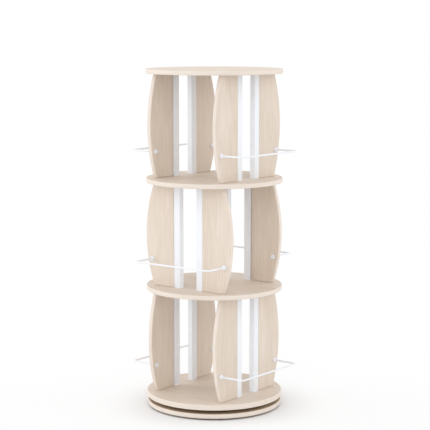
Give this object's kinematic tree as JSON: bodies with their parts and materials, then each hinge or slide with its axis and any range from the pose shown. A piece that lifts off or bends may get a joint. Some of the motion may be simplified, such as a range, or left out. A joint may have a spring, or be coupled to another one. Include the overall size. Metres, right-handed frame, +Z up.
{
  "type": "revolving bookcase",
  "caption": "Tall round revolving bookcase with stacked tiers of bowed wooden walls, white tube posts and wire book rails, turning on a fixed round base.",
  "frame": {"origin": "on the floor, on the axis that the shelf turns about", "axes": "+Z up the swivel axis; the top and bottom tiers' walls face +X and -X, the middle tier's face +Y and -Y"},
  "size_m": [0.462, 0.462, 1.1195],
  "materials": {
    "board_wood": "pale veneer, satin lacquer",
    "panel_wood": "pale veneer, satin lacquer",
    "cover_wood": "pale veneer, satin lacquer",
    "dowel_wood": "bare beech",
    "white_steel": "white powder coat",
    "bearing_steel": "turned, oiled",
    "fastener_steel": "zinc plated",
    "cage_plastic": "moulded",
    "foot_rubber": "matt"
  },
  "bodies": {
    "base": {"base_board": "board_wood", "base_feet": "foot_rubber", "bearing_outer_ring": "bearing_steel", "base_ring_screws": "fastener_steel"},
    "ball_cage": {"bearing_balls": "bearing_steel", "bearing_cage": "cage_plastic"},
    "shelf": {"bearing_inner_ring": "bearing_steel", "board_ring_screws": "fastener_steel", "bolt_covers": "cover_wood", "bottom_board": "board_wood", "bottom_left_front_panel": "panel_wood", "bottom_left_front_post": "white_steel", "bottom_left_rail": "white_steel", "bottom_left_rear_panel": "panel_wood", "bottom_left_rear_post": "white_steel", "bottom_panel_dowels": "dowel_wood", "bottom_post_bolts": "fastener_steel", "bottom_post_plugs": "fastener_steel", "bottom_rail_collars": "white_steel", "bottom_rail_screws": "white_steel", "bottom_right_front_panel": "panel_wood", "bottom_right_front_post": "white_steel", "bottom_right_rail": "white_steel", "bottom_right_rear_panel": "panel_wood", "bottom_right_rear_post": "white_steel", "lower_shelf": "board_wood", "middle_front_left_panel": "panel_wood", "middle_front_left_post": "white_steel", "middle_front_rail": "white_steel", "middle_front_right_panel": "panel_wood", "middle_front_right_post": "white_steel", "middle_panel_dowels": "dowel_wood", "middle_post_bolts": "fastener_steel", "middle_post_plugs": "fastener_steel", "middle_rail_collars": "white_steel", "middle_rail_screws": "white_steel", "middle_rear_left_panel": "panel_wood", "middle_rear_left_post": "white_steel", "middle_rear_rail": "white_steel", "middle_rear_right_panel": "panel_wood", "middle_rear_right_post": "white_steel", "top_board": "board_wood", "top_left_front_panel": "panel_wood", "top_left_front_post": "white_steel", "top_left_rail": "white_steel", "top_left_rear_panel": "panel_wood", "top_left_rear_post": "white_steel", "top_panel_dowels": "dowel_wood", "top_post_bolts": "fastener_steel", "top_post_plugs": "fastener_steel", "top_rail_collars": "white_steel", "top_rail_screws": "white_steel", "top_right_front_panel": "panel_wood", "top_right_front_post": "white_steel", "top_right_rail": "white_steel", "top_right_rear_panel": "panel_wood", "top_right_rear_post": "white_steel", "upper_shelf": "board_wood"}
  },
  "joints": [
    {"name": "shelf_swivel", "type": "hinge", "parent": "base", "child": "shelf", "pos_m": [0, 0, 0.027], "axis": [0, 0, 1], "continuous": true},
    {"name": "cage_roll", "type": "hinge", "parent": "base", "child": "ball_cage", "pos_m": [0, 0, 0.027], "axis": [0, 0, 1], "continuous": true}
  ],
  "couplings": [
    {"joint": "cage_roll", "follows": "shelf_swivel", "ratio": 0.4842}
  ]
}
